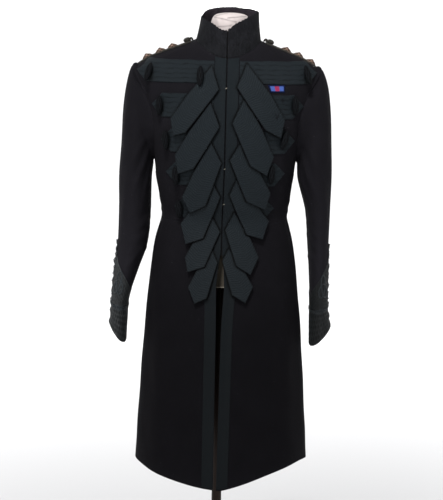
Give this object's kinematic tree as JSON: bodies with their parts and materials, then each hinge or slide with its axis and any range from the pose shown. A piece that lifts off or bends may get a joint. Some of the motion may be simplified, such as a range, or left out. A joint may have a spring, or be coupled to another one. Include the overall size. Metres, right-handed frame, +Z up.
{
  "type": "frock coat on dress form",
  "caption": "Braided military frock coat with a stand collar and folded braid ends down the front, on a limbless dress form with a pole and a round base.",
  "frame": {"origin": "centre of the round base's underside, below the pole", "axes": "+Z up along the pole, the coat's front faces -Y, its right side is at -X"},
  "size_m": [0.5235, 0.4133, 1.5699],
  "materials": {
    "wool": "milled wool cloth, matt with a short nap",
    "mohair_braid": "twilled mohair braid, dark green, a soft sheen",
    "collar_cloth": "fine ribbed cloth, matt",
    "plaited_cord": "plaited silk cord, worn at its edges",
    "ribbon": "ribbed silk ribbon, blue with a red middle",
    "form_linen": "brown linen over padding",
    "neck_cover": "pale cotton jersey",
    "stand_finish": "dark stained wood, satin"
  },
  "bodies": {
    "root": {"front_right": "wool", "back_right": "wool", "skirt_right": "wool", "sleeve_right": "wool", "front_left": "wool", "back_left": "wool", "skirt_left": "wool", "sleeve_left": "wool", "collar": "collar_cloth", "edge_braid_right": "mohair_braid", "cuff_braid_right": "mohair_braid", "sleeve_knot_right": "mohair_braid", "shoulder_cord_right": "plaited_cord", "band_right_1": "mohair_braid", "band_right_2": "mohair_braid", "band_right_3": "mohair_braid", "band_right_4": "mohair_braid", "band_right_5": "mohair_braid", "leaf_right_1": "mohair_braid", "leaf_right_2": "mohair_braid", "leaf_right_3": "mohair_braid", "leaf_right_4": "mohair_braid", "leaf_right_5": "mohair_braid", "leaf_right_6": "mohair_braid", "olivet_right_1": "mohair_braid", "olivet_right_2": "mohair_braid", "olivet_right_3": "mohair_braid", "olivet_right_4": "mohair_braid", "olivet_right_5": "mohair_braid", "olivet_right_6": "mohair_braid", "edge_braid_left": "mohair_braid", "cuff_braid_left": "mohair_braid", "sleeve_knot_left": "mohair_braid", "shoulder_cord_left": "plaited_cord", "band_left_1": "mohair_braid", "band_left_2": "mohair_braid", "band_left_3": "mohair_braid", "band_left_4": "mohair_braid", "band_left_5": "mohair_braid", "leaf_left_1": "mohair_braid", "leaf_left_2": "mohair_braid", "leaf_left_3": "mohair_braid", "leaf_left_4": "mohair_braid", "leaf_left_5": "mohair_braid", "leaf_left_6": "mohair_braid", "olivet_left_1": "mohair_braid", "olivet_left_2": "mohair_braid", "olivet_left_3": "mohair_braid", "olivet_left_4": "mohair_braid", "ribbon_bar": "ribbon", "form_torso": "form_linen", "form_neck": "neck_cover", "stand_pole": "stand_finish", "stand_base": "stand_finish"}
  },
  "joints": []
}
